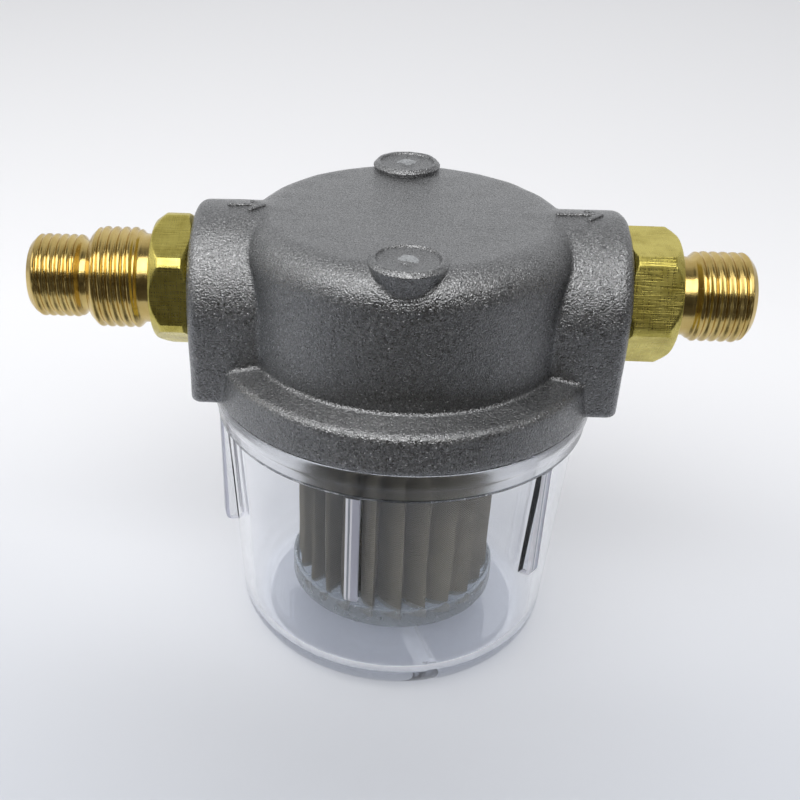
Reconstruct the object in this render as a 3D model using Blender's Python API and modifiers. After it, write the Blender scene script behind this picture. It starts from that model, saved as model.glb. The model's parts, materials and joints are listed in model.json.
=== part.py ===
"""Inline oil strainer: cast aluminium head, two brass unions, clear screw-on bowl and pleated cartridge.

Metres, +Z up. X runs along the ports, from the inlet at -X to the outlet at +X.
The origin is on the bowl's axis, on the surface that the bowl stands on.
"""
import math

import bmesh
import bpy

MM = 0.001

# --- driving dimensions -------------------------------------------------------------------------
GAP = 0.3 * MM                    # clearance kept between neighbouring pieces
PORT_Z = 62.0 * MM                # height of the port axis
HEAD_BOTTOM = 47.0 * MM           # underside of the flange and of the port bosses
HEAD_TOP = 74.6 * MM              # flat top of the drum
DRUM_R = 26.0 * MM
DRUM_SHOULDER = 5.0 * MM
FLANGE_R = 31.4 * MM
FLANGE_TOP = 53.6 * MM            # where the flange's top meets the drum
FLANGE_RIM_R = 30.4 * MM          # the flange's upper edge, drawn in and sloping down to it
FLANGE_RIM_Z = 52.9 * MM
FLANGE_EDGE = 0.8 * MM            # rounding of that edge
BOSS_HALF_LENGTH = 33.0 * MM      # port boss end face, from the bowl's axis
BOSS_HALF_WIDTH = 13.9 * MM       # also the radius of the boss's arched top
BOSS_ARCH_Z = 60.8 * MM
BOSS_END_ROUND = 1.6 * MM
PAD_Y = 20.8 * MM                 # two round pads on the head's top
PAD_R = 5.65 * MM
PAD_ROOT_R = 4.8 * MM             # a pad narrows downwards to this
PAD_TOP = 75.7 * MM
PAD_DISH_R = 4.2 * MM
PAD_DISH_DEPTH = 0.5 * MM
PAD_NIB_R = 1.7 * MM
PAD_NIB_HEIGHT = 0.45 * MM
PAD_NIB_CROWN = 0.1 * MM          # how much lower the nib is halfway out

CHAMBER_R = 22.5 * MM
CHAMBER_TOP = 70.8 * MM
CHAMBER_ROUND = 3.0 * MM
SOCKET_R = 29.1 * MM              # where the bowl's neck screws in
SOCKET_TOP = 51.3 * MM
DUCT_R = 6.4 * MM                 # cast duct from the centre to the outlet
DUCT_START = -1.0 * MM
DUCT_END = 29.0 * MM
DUCT_PAD_R = 8.0 * MM             # boss under the duct's inner end, tapped for the nipple
DUCT_PAD_BOTTOM = 55.5 * MM
DUCT_PAD_TOP = 75.5 * MM
DUCT_BORE_R = 4.5 * MM
DUCT_BORE_START = -2.0 * MM
DUCT_BORE_END = 31.0 * MM
PORT_HOLE_R = 6.6 * MM            # G1/4 port holes
PORT_HOLE_DEPTH = 11.5 * MM
NIPPLE_HOLE_R = 5.3 * MM
OVERCUT = 1.0 * MM                # how far a cutter runs past the face it cuts

UNION_SPIGOT_R = 6.3 * MM
UNION_SPIGOT_LENGTH = 9.8 * MM
HEX_START = 34.1 * MM             # inner face of both hexagons, from the bowl's axis
HEX_FLATS = 19.0 * MM
HEX_CHAMFER = 0.9 * MM            # taken off a corner's radius
HEX_CHAMFER_LENGTH = 0.5 * MM     # and along the axis
SEAL_THICKNESS = 0.5 * MM
SEAL_R = 9.0 * MM
INLET_BORE_R = 3.5 * MM
OUTLET_BORE_R = 4.0 * MM
INLET_HEX_LENGTH = 5.4 * MM
OUTLET_HEX_LENGTH = 7.0 * MM
INLET_HEX_TURN = 23.0             # degrees about the port axis, as each union was tightened
OUTLET_HEX_TURN = 5.0
INLET_STEPS = [                   # (distance from the bowl's axis, radius), going outwards
    (41.6 * MM, 7.05 * MM), (42.2 * MM, 8.0 * MM), (48.6 * MM, 8.0 * MM), (49.6 * MM, 7.0 * MM),
    (49.8 * MM, 5.6 * MM), (51.0 * MM, 5.6 * MM), (51.6 * MM, 6.58 * MM), (58.4 * MM, 6.58 * MM),
    (59.5 * MM, 5.5 * MM)]
OUTLET_STEPS = [(43.9 * MM, 6.1 * MM), (44.5 * MM, 7.0 * MM), (52.0 * MM, 7.0 * MM), (53.0 * MM, 6.0 * MM)]

BOWL_COLLAR_R = 31.0 * MM
BOWL_COLLAR_CHAMFER = 0.4 * MM
BOWL_COLLAR_TOP = 46.7 * MM
BOWL_COLLAR_BOTTOM = 41.7 * MM
BOWL_WALL_TOP_R = 29.5 * MM
BOWL_WALL_BOTTOM_R = 27.2 * MM
BOWL_WALL_STEP = 0.3 * MM         # slope between the collar and the wall
BOWL_WALL_FOOT = 5.1 * MM         # height at which the wall's slope begins
BOWL_CORNER = 4.6 * MM
BOWL_NECK_R = 28.6 * MM
BOWL_NECK_TOP = 49.7 * MM
BOWL_INNER_TOP_R = 27.0 * MM
BOWL_INNER_BOTTOM_R = 25.2 * MM
BOWL_FLOOR = 2.2 * MM
BOWL_INNER_CORNER = 4.0 * MM
RIB_COUNT = 6
RIB_FIRST = -103.0                # degrees from +X, the rib nearest the front
RIB_HALF_WIDTH = 1.05 * MM
RIB_BOTTOM = 21.5 * MM
RIB_TOP = 42.7 * MM
RIB_INNER_R = 26.4 * MM
RIB_OUTER_R = 30.85 * MM
RUNNER_ANGLE = -73.0              # degrees from +X, shallow groove in the bowl's underside
RUNNER_HALF_WIDTH = 1.3 * MM
RUNNER_DEPTH = 0.6 * MM
RUNNER_START = 6.0 * MM
RUNNER_END = 26.0 * MM

PLEAT_COUNT = 24
PLEAT_TIP_R = 16.8 * MM
PLEAT_ROOT_R = 12.9 * MM
PLEAT_LEAN = 0.075                # radians that a pleat's tip leads its middle
MESH_THICKNESS = 0.36 * MM
MESH_BOTTOM = 8.6 * MM
MESH_TOP = 48.6 * MM
MESH_STEPS = 6                    # points drawn in each pleat
SEAM_R = 12.4 * MM                # where the strip that joins the pack's ends stands
SEAM_SIZE = (0.5 * MM, 1.0 * MM, 38.0 * MM)
SEAM_PLEAT = 0.75                 # its place, in pleats from the first tip
CAP_R = 18.0 * MM
CAP_SKIRT_INNER_R = 17.2 * MM
CAP_CLEARANCE = 0.4 * MM          # between the mesh's ends and the plates of the caps
CAP_PLATE = 1.4 * MM
CAP_SKIRT = 3.0 * MM              # how far the top cap's skirt hangs below its plate
CAP_HOLE_R = 7.9 * MM
CAP_CORNER = 0.5 * MM
BOTTOM_CAP_BOTTOM = 7.0 * MM
BOTTOM_CAP_TOP = 10.8 * MM
FOOT_R = 4.5 * MM
FOOT_CHAMFER = 0.4 * MM
GROMMET_LIP_R = 9.2 * MM
GROMMET_LIP = 0.9 * MM
GROMMET_WAIST_R = 7.6 * MM
GROMMET_TAIL_R = 8.6 * MM
GROMMET_TAIL = 1.1 * MM
CORE_R = 11.6 * MM
CORE_INNER_R = 11.2 * MM
WINDOW_R = 2.4 * MM
WINDOW_FIRST_Z = 16.6 * MM
WINDOW_PITCH = 12.0 * MM
WINDOW_ROWS = 3
WINDOW_PAIRS = 3                  # in each row, a pair facing each other across the tube
NIPPLE_R = 5.0 * MM
NIPPLE_BORE_R = 3.4 * MM
NIPPLE_BOTTOM = 44.0 * MM
NIPPLE_TOP = 61.0 * MM
NIPPLE_CHAMFER = 0.6 * MM
NIPPLE_HEX_FLATS = 14.0 * MM
NIPPLE_HEX_HEIGHT = 2.0 * MM

TURN_STEPS = 40                   # facets round a large turned piece
SMALL_STEPS = 24


# --- small tools --------------------------------------------------------------------------------
def clear_scene():
    for item in list(bpy.data.objects):
        bpy.data.objects.remove(item, do_unlink=True)


def make_collection(name):
    group = bpy.data.collections.new(name)
    bpy.context.scene.collection.children.link(group)
    return group


def make_material(name, colour, roughness, metallic, alpha=1.0):
    material = bpy.data.materials.new(name)
    material.use_nodes = True
    shader = material.node_tree.nodes["Principled BSDF"]
    shader.inputs["Base Color"].default_value = (*colour, 1.0)
    shader.inputs["Roughness"].default_value = roughness
    shader.inputs["Metallic"].default_value = metallic
    shader.inputs["Alpha"].default_value = alpha
    return material


def arc(centre_r, centre_z, radius, start, end, steps):
    """Points of an arc in the (r, z) plane, from start to end degrees."""
    angles = [math.radians(start + (end - start) * i / steps) for i in range(steps + 1)]
    return [(centre_r + radius * math.cos(a), centre_z + radius * math.sin(a)) for a in angles]


def add_object(name, mesh, group, material=None):
    item = bpy.data.objects.new(name, mesh)
    group.objects.link(item)
    if material is not None:
        mesh.materials.append(material)
    return item


def turned(name, profile, group, material=None, closed=False, steps=TURN_STEPS):
    """A profile of (r, z) points, running down its outer side, turned about Z with a Screw modifier."""
    mesh = bpy.data.meshes.new(name)
    count = len(profile)
    edges = [(i, i + 1) for i in range(count - 1)]
    if closed:
        edges.append((count - 1, 0))
    mesh.from_pydata([(r, 0.0, z) for r, z in profile], edges, [])
    item = add_object(name, mesh, group, material)
    screw = item.modifiers.new("turn", "SCREW")
    screw.steps = steps
    screw.render_steps = steps
    screw.use_merge_vertices = True
    screw.merge_threshold = 0.00001
    screw.use_smooth_shade = True
    return item


def settle(item):
    """A copy of an object's evaluated mesh, with its caps welded on and its faces turned outwards."""
    bpy.context.view_layer.update()
    evaluated = item.evaluated_get(bpy.context.evaluated_depsgraph_get())
    mesh = bpy.data.meshes.new_from_object(evaluated)
    work = bmesh.new()
    work.from_mesh(mesh)
    bmesh.ops.remove_doubles(work, verts=work.verts, dist=0.000002)
    bmesh.ops.recalc_face_normals(work, faces=work.faces)
    work.to_mesh(mesh)
    work.free()
    return mesh


def extruded(name, outlines, half_thickness, group, material=None):
    """Flat closed outlines in the XY plane, filled and given a thickness, as a welded mesh."""
    curve = bpy.data.curves.new(name, "CURVE")
    curve.dimensions = "2D"
    curve.fill_mode = "BOTH"
    curve.extrude = half_thickness
    for outline in outlines:
        spline = curve.splines.new("POLY")
        spline.points.add(len(outline) - 1)
        for point, (x, y) in zip(spline.points, outline):
            point.co = (x, y, 0.0, 1.0)
        spline.use_cyclic_u = True
    drawn = add_object(name + "_outline", curve, group)
    mesh = settle(drawn)
    bpy.data.objects.remove(drawn, do_unlink=True)
    return add_object(name, mesh, group, material)


def rod(name, radius, length, group, sides=SMALL_STEPS):
    """A plain cylinder along Z, centred on its origin."""
    mesh = bpy.data.meshes.new(name)
    work = bmesh.new()
    bmesh.ops.create_cone(work, cap_ends=True, segments=sides, radius1=radius, radius2=radius, depth=length)
    work.to_mesh(mesh)
    work.free()
    return add_object(name, mesh, group)


def block(name, size, group):
    """A box of the given size, centred on its origin."""
    mesh = bpy.data.meshes.new(name)
    work = bmesh.new()
    bmesh.ops.create_cube(work, size=1.0)
    bmesh.ops.scale(work, vec=size, verts=work.verts)
    work.to_mesh(mesh)
    work.free()
    return add_object(name, mesh, group)


def combine(item, tool, operation):
    """Boolean with the EXACT solver, kept live on the object; the tool is hidden."""
    boolean = item.modifiers.new(operation.lower() + "_" + tool.name, "BOOLEAN")
    boolean.operation = operation
    boolean.solver = "EXACT"
    boolean.object = tool
    tool.hide_render = True
    tool.display_type = "WIRE"


def lay_along_x(item, direction):
    """Turn a piece drawn along +Z so that its +Z points along +X or -X."""
    item.rotation_euler = (0.0, direction * math.pi / 2, 0.0)


def place_round(item, radius, degrees, height):
    """Stand a piece at a radius from the bowl's axis, turned so that its X points outwards."""
    angle = math.radians(degrees)
    item.location = (radius * math.cos(angle), radius * math.sin(angle), height)
    item.rotation_euler = (0.0, 0.0, angle)


def rod_along_x(name, radius, start, end, group):
    """A plain cylinder on the port axis, from start to end along X."""
    item = rod(name, radius, end - start, group)
    item.location = ((start + end) / 2, 0.0, PORT_Z)
    lay_along_x(item, 1)
    return item


def rod_along_z(name, radius, bottom, top, group, sides=SMALL_STEPS):
    """A plain cylinder on the bowl's axis, from bottom to top."""
    item = rod(name, radius, top - bottom, group, sides)
    item.location = (0.0, 0.0, (bottom + top) / 2)
    return item


# --- head ---------------------------------------------------------------------------------------
def boss_outline():
    """Arch seen along the ports: straight sides, flat foot and a half-round top, as (up, across)."""
    foot = HEAD_BOTTOM - BOSS_ARCH_Z
    steps = 20
    angles = [math.pi * i / steps - math.pi / 2 for i in range(steps + 1)]
    arch = [(BOSS_HALF_WIDTH * math.cos(a), BOSS_HALF_WIDTH * math.sin(a)) for a in angles]
    return [(foot, -BOSS_HALF_WIDTH), *arch, (foot, BOSS_HALF_WIDTH)]


def build_head(parts, cutters, material):
    shoulder = arc(DRUM_R - DRUM_SHOULDER, HEAD_TOP - DRUM_SHOULDER, DRUM_SHOULDER, 90, 0, 7)
    edge = arc(FLANGE_RIM_R - FLANGE_EDGE, FLANGE_RIM_Z - FLANGE_EDGE, FLANGE_EDGE, 80, 10, 4)
    profile = [(0.0, HEAD_TOP), *shoulder, (DRUM_R, FLANGE_TOP), *edge, (FLANGE_R, HEAD_BOTTOM),
               (0.0, HEAD_BOTTOM)]
    head = turned("head_casting", profile, parts, material)

    boss = extruded("port_boss", [boss_outline()], BOSS_HALF_LENGTH, cutters)
    boss.rotation_euler = (0.0, -math.pi / 2, 0.0)
    boss.location = (0.0, 0.0, BOSS_ARCH_Z)
    bevel = boss.modifiers.new("round_ends", "BEVEL")
    bevel.width = BOSS_END_ROUND
    bevel.segments = 3
    bevel.limit_method = "ANGLE"
    bevel.angle_limit = math.radians(60)
    combine(head, boss, "UNION")

    for side in (-1, 1):
        dish_z = PAD_TOP - PAD_DISH_DEPTH
        nib_z = dish_z + PAD_NIB_HEIGHT
        root_z = CHAMBER_TOP + GAP
        pad_profile = [(0.0, nib_z), (PAD_NIB_R / 2, nib_z - PAD_NIB_CROWN), (PAD_NIB_R, dish_z),
                       (PAD_DISH_R, dish_z), (PAD_DISH_R, PAD_TOP), (PAD_R, PAD_TOP),
                       (PAD_ROOT_R, root_z), (0.0, root_z)]
        pad = turned("top_pad_%d" % side, pad_profile, cutters, steps=SMALL_STEPS)
        pad.location = (0.0, side * PAD_Y, 0.0)
        combine(head, pad, "UNION")

    below = HEAD_BOTTOM - OVERCUT
    chamber_edge = arc(CHAMBER_R - CHAMBER_ROUND, CHAMBER_TOP - CHAMBER_ROUND, CHAMBER_ROUND, 90, 0, 3)
    chamber_profile = [(0.0, CHAMBER_TOP), *chamber_edge, (CHAMBER_R, SOCKET_TOP), (SOCKET_R, SOCKET_TOP),
                       (SOCKET_R, below), (0.0, below)]
    chamber = turned("chamber", chamber_profile, cutters)
    duct = rod_along_x("duct", DUCT_R, DUCT_START, DUCT_END, cutters)
    duct_pad = rod_along_z("duct_pad", DUCT_PAD_R, DUCT_PAD_BOTTOM, DUCT_PAD_TOP, cutters)
    combine(chamber, duct, "DIFFERENCE")
    combine(chamber, duct_pad, "DIFFERENCE")
    combine(head, chamber, "DIFFERENCE")

    for side in (-1, 1):
        inner = side * (BOSS_HALF_LENGTH - PORT_HOLE_DEPTH)
        outer = side * (BOSS_HALF_LENGTH + OVERCUT)
        port = rod_along_x("port_hole_%d" % side, PORT_HOLE_R, min(inner, outer), max(inner, outer), cutters)
        combine(head, port, "DIFFERENCE")
    bore = rod_along_x("duct_bore", DUCT_BORE_R, DUCT_BORE_START, DUCT_BORE_END, cutters)
    combine(head, bore, "DIFFERENCE")
    nipple_hole = rod_along_z("nipple_hole", NIPPLE_HOLE_R, DUCT_PAD_BOTTOM - OVERCUT, PORT_Z + OVERCUT,
                              cutters)
    combine(head, nipple_hole, "DIFFERENCE")
    return head


# --- unions -------------------------------------------------------------------------------------
def build_union(name, side, steps_out, hex_length, hex_turn, bore, parts, cutters, material):
    """Turned brass with a hexagon, on the inlet's side (-1) or the outlet's (1)."""
    tip = steps_out[-1][0]
    outside = [(radius, distance) for distance, radius in reversed(steps_out)]
    shank_r = steps_out[0][1]
    hex_middle = HEX_START + hex_length / 2
    inner_end = BOSS_HALF_LENGTH - UNION_SPIGOT_LENGTH
    profile = [(bore, tip), *outside, (shank_r, hex_middle), (UNION_SPIGOT_R, hex_middle),
               (UNION_SPIGOT_R, inner_end), (bore, inner_end)]
    body = turned(name, profile, parts, material, closed=True, steps=SMALL_STEPS)
    body.location = (0.0, 0.0, PORT_Z)
    lay_along_x(body, side)

    corner = HEX_FLATS / math.sqrt(3)
    half = hex_length / 2
    hexagon = rod(name + "_hexagon", corner, hex_length, cutters, sides=6)
    chamfer_profile = [(0.0, half), (corner - HEX_CHAMFER, half), (corner, half - HEX_CHAMFER_LENGTH),
                       (corner, HEX_CHAMFER_LENGTH - half), (corner - HEX_CHAMFER, -half), (0.0, -half)]
    chamfer = turned(name + "_chamfer", chamfer_profile, cutters, steps=SMALL_STEPS)
    hole = rod(name + "_hole", (bore + UNION_SPIGOT_R) / 2, 2 * hex_length, cutters)
    for tool in (hexagon, chamfer, hole):
        tool.location = (side * hex_middle, 0.0, PORT_Z)
        lay_along_x(tool, side)
    hexagon.rotation_mode = "ZYX"
    hexagon.rotation_euler = (math.radians(hex_turn), side * math.pi / 2, 0.0)
    combine(hexagon, chamfer, "INTERSECT")
    combine(hexagon, hole, "DIFFERENCE")
    combine(body, hexagon, "UNION")
    return body


def build_seal(name, side, parts, material):
    profile = [(SEAL_R, SEAL_THICKNESS), (SEAL_R, 0.0), (PORT_HOLE_R, 0.0), (PORT_HOLE_R, SEAL_THICKNESS)]
    seal = turned(name, profile, parts, material, closed=True, steps=SMALL_STEPS)
    seal.location = (side * (BOSS_HALF_LENGTH + GAP), 0.0, PORT_Z)
    lay_along_x(seal, side)
    return seal


# --- bowl ---------------------------------------------------------------------------------------
def build_bowl(parts, cutters, material):
    outer_corner = arc(BOWL_WALL_BOTTOM_R - BOWL_CORNER, BOWL_CORNER, BOWL_CORNER, 0, -90, 5)
    inner_corner = arc(BOWL_INNER_BOTTOM_R - BOWL_INNER_CORNER, BOWL_FLOOR + BOWL_INNER_CORNER,
                       BOWL_INNER_CORNER, -90, 0, 4)
    profile = [(0.0, BOWL_FLOOR), *inner_corner, (BOWL_INNER_TOP_R, BOWL_COLLAR_BOTTOM),
               (BOWL_INNER_TOP_R, BOWL_NECK_TOP), (BOWL_NECK_R, BOWL_NECK_TOP),
               (BOWL_NECK_R, BOWL_COLLAR_TOP), (BOWL_COLLAR_R - BOWL_COLLAR_CHAMFER, BOWL_COLLAR_TOP),
               (BOWL_COLLAR_R, BOWL_COLLAR_TOP - BOWL_COLLAR_CHAMFER), (BOWL_COLLAR_R, BOWL_COLLAR_BOTTOM),
               (BOWL_WALL_TOP_R, BOWL_COLLAR_BOTTOM - BOWL_WALL_STEP), (BOWL_WALL_BOTTOM_R, BOWL_WALL_FOOT),
               *outer_corner, (0.0, 0.0)]
    bowl = turned("bowl", profile, parts, material)

    for i in range(RIB_COUNT):
        rib_size = (RIB_OUTER_R - RIB_INNER_R, 2 * RIB_HALF_WIDTH, RIB_TOP - RIB_BOTTOM)
        rib = block("rib_%d" % i, rib_size, cutters)
        place_round(rib, (RIB_INNER_R + RIB_OUTER_R) / 2, RIB_FIRST + 360.0 * i / RIB_COUNT,
                    (RIB_BOTTOM + RIB_TOP) / 2)
        combine(bowl, rib, "UNION")

    runner = block("runner", (RUNNER_END - RUNNER_START, 2 * RUNNER_HALF_WIDTH, 2 * RUNNER_DEPTH), cutters)
    place_round(runner, (RUNNER_START + RUNNER_END) / 2, RUNNER_ANGLE, 0.0)
    combine(bowl, runner, "DIFFERENCE")
    return bowl


def build_gasket(parts, material):
    inner, outer = BOWL_INNER_TOP_R, BOWL_NECK_R + 0.1 * MM
    bottom, top = BOWL_NECK_TOP + GAP, SOCKET_TOP - GAP
    profile = [(outer, top), (outer, bottom), (inner, bottom), (inner, top)]
    return turned("bowl_gasket", profile, parts, material, closed=True)


# --- cartridge ----------------------------------------------------------------------------------
def pleat_point(turn_share, offset):
    """Middle line of the pleated sheet, moved sideways by offset: a rounded zigzag that leans one way."""
    def middle(share):
        wave = math.asin(0.96 * math.sin(2 * math.pi * PLEAT_COUNT * share)) / math.asin(0.96)
        radius = (PLEAT_TIP_R + PLEAT_ROOT_R) / 2 + wave * (PLEAT_TIP_R - PLEAT_ROOT_R) / 2
        angle = 2 * math.pi * share + PLEAT_LEAN * wave
        return radius * math.cos(angle), radius * math.sin(angle)
    step = 0.02 / PLEAT_COUNT
    x0, y0 = middle(turn_share - step)
    x1, y1 = middle(turn_share + step)
    length = math.hypot(x1 - x0, y1 - y0)
    x, y = middle(turn_share)
    return x + offset * (y1 - y0) / length, y - offset * (x1 - x0) / length


def build_mesh_pack(parts, material):
    count = PLEAT_COUNT * MESH_STEPS
    outlines = []
    for offset in (MESH_THICKNESS / 2, -MESH_THICKNESS / 2):
        outlines.append([pleat_point(i / count, offset) for i in range(count)])
    pack = extruded("filter_mesh", outlines, (MESH_TOP - MESH_BOTTOM) / 2, parts, material)
    pack.location = (0.0, 0.0, (MESH_TOP + MESH_BOTTOM) / 2)
    return pack


def build_seam_strip(parts, material):
    """A folded strip clipped inside one pleat's root, where the two ends of the pack meet."""
    strip = block("mesh_seam_strip", SEAM_SIZE, parts)
    strip.data.materials.append(material)
    x, y = pleat_point(SEAM_PLEAT / PLEAT_COUNT, 0.0)
    place_round(strip, SEAM_R, math.degrees(math.atan2(y, x)), (MESH_TOP + MESH_BOTTOM) / 2)
    return strip


def build_core(parts, cutters, material):
    """A tube with rows of round windows, each row turned half a window's spacing from the one below."""
    profile = [(CORE_R, MESH_TOP), (CORE_R, MESH_BOTTOM), (CORE_INNER_R, MESH_BOTTOM),
               (CORE_INNER_R, MESH_TOP)]
    core = turned("core_tube", profile, parts, material, closed=True, steps=SMALL_STEPS)
    spacing = 180.0 / WINDOW_PAIRS
    for row in range(WINDOW_ROWS):
        for pair in range(WINDOW_PAIRS):
            window = rod("window_%d_%d" % (row, pair), WINDOW_R, 4 * CORE_R, cutters, sides=10)
            window.location = (0.0, 0.0, WINDOW_FIRST_Z + row * WINDOW_PITCH)
            angle = math.radians(spacing * (pair + 0.5 * (row % 2)))
            window.rotation_euler = (0.0, math.pi / 2, angle)
            combine(core, window, "DIFFERENCE")
    return core


def build_caps(parts, material_top, material_bottom):
    plate = MESH_TOP + CAP_CLEARANCE
    skirt_bottom = plate - CAP_SKIRT
    top_profile = [(CAP_R, plate + CAP_PLATE), (CAP_R, skirt_bottom), (CAP_SKIRT_INNER_R, skirt_bottom),
                   (CAP_SKIRT_INNER_R, plate), (CAP_HOLE_R, plate), (CAP_HOLE_R, plate + CAP_PLATE)]
    turned("top_cap", top_profile, parts, material_top, closed=True)

    floor = MESH_BOTTOM - CAP_CLEARANCE
    foot_bottom = BOWL_FLOOR + GAP
    bottom_profile = [(0.0, floor), (CAP_SKIRT_INNER_R, floor), (CAP_SKIRT_INNER_R, BOTTOM_CAP_TOP),
                      (CAP_R, BOTTOM_CAP_TOP), (CAP_R, BOTTOM_CAP_BOTTOM + CAP_CORNER),
                      (CAP_R - CAP_CORNER, BOTTOM_CAP_BOTTOM), (FOOT_R, BOTTOM_CAP_BOTTOM),
                      (FOOT_R - FOOT_CHAMFER, foot_bottom), (0.0, foot_bottom)]
    turned("bottom_cap", bottom_profile, parts, material_bottom)


def build_grommet(parts, material):
    """A rubber ring that grips the top cap's hole with its waist and the nipple with its bore."""
    plate = MESH_TOP + CAP_CLEARANCE
    above = plate + CAP_PLATE + GAP
    below = plate - GAP
    bore = NIPPLE_R + GAP
    profile = [(GROMMET_LIP_R, above + GROMMET_LIP), (GROMMET_LIP_R, above), (GROMMET_WAIST_R, above),
               (GROMMET_WAIST_R, below), (GROMMET_TAIL_R, below), (GROMMET_TAIL_R, below - GROMMET_TAIL),
               (bore, below - GROMMET_TAIL), (bore, above + GROMMET_LIP)]
    return turned("cap_grommet", profile, parts, material, closed=True, steps=SMALL_STEPS)


def build_nipple(parts, cutters, material):
    """Hollow nipple: a threaded stud above a hexagon, and a plain sleeve below for the cartridge."""
    profile = [(NIPPLE_BORE_R, NIPPLE_TOP), (NIPPLE_R, NIPPLE_TOP),
               (NIPPLE_R, NIPPLE_BOTTOM + NIPPLE_CHAMFER), (NIPPLE_R - NIPPLE_CHAMFER, NIPPLE_BOTTOM),
               (NIPPLE_BORE_R, NIPPLE_BOTTOM)]
    nipple = turned("centre_nipple", profile, parts, material, closed=True, steps=SMALL_STEPS)
    hex_top = DUCT_PAD_BOTTOM - GAP
    hex_bottom = hex_top - NIPPLE_HEX_HEIGHT
    corner = NIPPLE_HEX_FLATS / math.sqrt(3)
    hexagon = rod_along_z("nipple_hexagon", corner, hex_bottom, hex_top, cutters, sides=6)
    hole_r = (NIPPLE_R + NIPPLE_BORE_R) / 2
    hole = rod_along_z("nipple_hexagon_hole", hole_r, hex_bottom - OVERCUT, hex_top + OVERCUT, cutters)
    combine(hexagon, hole, "DIFFERENCE")
    combine(nipple, hexagon, "UNION")
    return nipple


# --- assembly -----------------------------------------------------------------------------------
clear_scene()
strainer = make_collection("oil_strainer")
tools = make_collection("cutters")
tools.hide_render = True

aluminium = make_material("cast_aluminium", (0.30, 0.31, 0.31), 0.45, 1.0)
brass = make_material("brass", (0.72, 0.55, 0.20), 0.28, 1.0)
clear_plastic = make_material("clear_plastic", (0.90, 0.93, 0.97), 0.05, 0.0, 0.3)
stainless = make_material("stainless_mesh", (0.34, 0.33, 0.29), 0.5, 1.0)
white_plastic = make_material("white_plastic", (0.80, 0.82, 0.84), 0.4, 0.0)
black_rubber = make_material("black_rubber", (0.03, 0.03, 0.03), 0.6, 0.0)
fibre = make_material("fibre_washer", (0.12, 0.06, 0.03), 0.7, 0.0)

build_head(strainer, tools, aluminium)

build_union("inlet_union", -1, INLET_STEPS, INLET_HEX_LENGTH, INLET_HEX_TURN, INLET_BORE_R,
            strainer, tools, brass)
build_union("outlet_union", 1, OUTLET_STEPS, OUTLET_HEX_LENGTH, OUTLET_HEX_TURN, OUTLET_BORE_R,
            strainer, tools, brass)
build_seal("inlet_seal", -1, strainer, fibre)
build_seal("outlet_seal", 1, strainer, fibre)

build_bowl(strainer, tools, clear_plastic)
build_gasket(strainer, black_rubber)

build_mesh_pack(strainer, stainless)
build_seam_strip(strainer, stainless)
build_core(strainer, tools, white_plastic)
build_caps(strainer, white_plastic, clear_plastic)
build_grommet(strainer, black_rubber)
build_nipple(strainer, tools, brass)
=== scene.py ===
import json
import math

import bpy
import numpy as np
from mathutils import Matrix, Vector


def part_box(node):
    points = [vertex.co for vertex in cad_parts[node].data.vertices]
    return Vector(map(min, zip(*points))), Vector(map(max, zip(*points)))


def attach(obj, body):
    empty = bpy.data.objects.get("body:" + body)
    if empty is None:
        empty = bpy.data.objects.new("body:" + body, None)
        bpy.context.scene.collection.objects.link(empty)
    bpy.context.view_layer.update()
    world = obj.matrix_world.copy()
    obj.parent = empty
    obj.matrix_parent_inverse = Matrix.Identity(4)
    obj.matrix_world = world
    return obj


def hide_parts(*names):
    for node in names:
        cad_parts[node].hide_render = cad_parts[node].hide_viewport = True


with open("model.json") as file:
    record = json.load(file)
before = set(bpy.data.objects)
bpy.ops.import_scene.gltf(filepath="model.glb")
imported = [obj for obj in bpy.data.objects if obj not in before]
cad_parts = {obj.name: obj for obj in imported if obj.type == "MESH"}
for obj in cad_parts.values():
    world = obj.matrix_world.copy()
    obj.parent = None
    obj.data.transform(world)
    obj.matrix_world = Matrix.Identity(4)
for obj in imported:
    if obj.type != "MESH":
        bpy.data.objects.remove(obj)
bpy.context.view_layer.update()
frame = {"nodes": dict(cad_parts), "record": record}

# ================================================================================================
# The view and the studio: a pale table, its colour darkened towards the front as a painted shadow, a large
# soft light above and two weaker ones, and a short lens looking down at the strainer. Sizes below are in
# millimetres, and mesh points are made metres when they go into a mesh.
# ================================================================================================
MM = 0.001
port_z = frame["record"]["mounts"][1]["pos_m"][2] / MM

VIEW_TURN, VIEW_TILT, VIEW_ROLL = (math.radians(a) for a in (3.06, 31.70, 0.65))
VIEW_DISTANCE = 177.4 * MM
VIEW_TARGET = np.array([-12.05, 0.0, port_z - 24.8]) * MM
SENSOR_MM, LENS_MM = 36.0, 46.42
LENS_SHIFT = 0.0891, 0.0203


def linear(hex_colour, alpha=1.0):
    """sRGB hex to linear RGBA: below 0.04045 divided by 12.92, else ((c + 0.055) / 1.055) ** 2.4."""
    shares = [int(hex_colour[i:i + 2], 16) / 255 for i in (1, 3, 5)]
    return (*(c / 12.92 if c <= 0.04045 else ((c + 0.055) / 1.055) ** 2.4 for c in shares), alpha)


def add_node(tree, kind, inputs=None, **settings):
    """Add a node with its settings; each input is a value or the socket that feeds it."""
    made = tree.nodes.new(kind)
    for key, value in settings.items():
        setattr(made, key, value)
    for socket, value in (inputs or {}).items():
        if isinstance(value, bpy.types.NodeSocket):
            tree.links.new(value, made.inputs[socket])
        else:
            made.inputs[socket].default_value = value
    return made


def new_material(name):
    """An empty node material and its output node."""
    material = bpy.data.materials.new(name)
    material.use_nodes = True
    tree = material.node_tree
    tree.nodes.clear()
    return material, tree, tree.nodes.new("ShaderNodeOutputMaterial")


def unit(vector):
    return vector / np.linalg.norm(vector)


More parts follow.
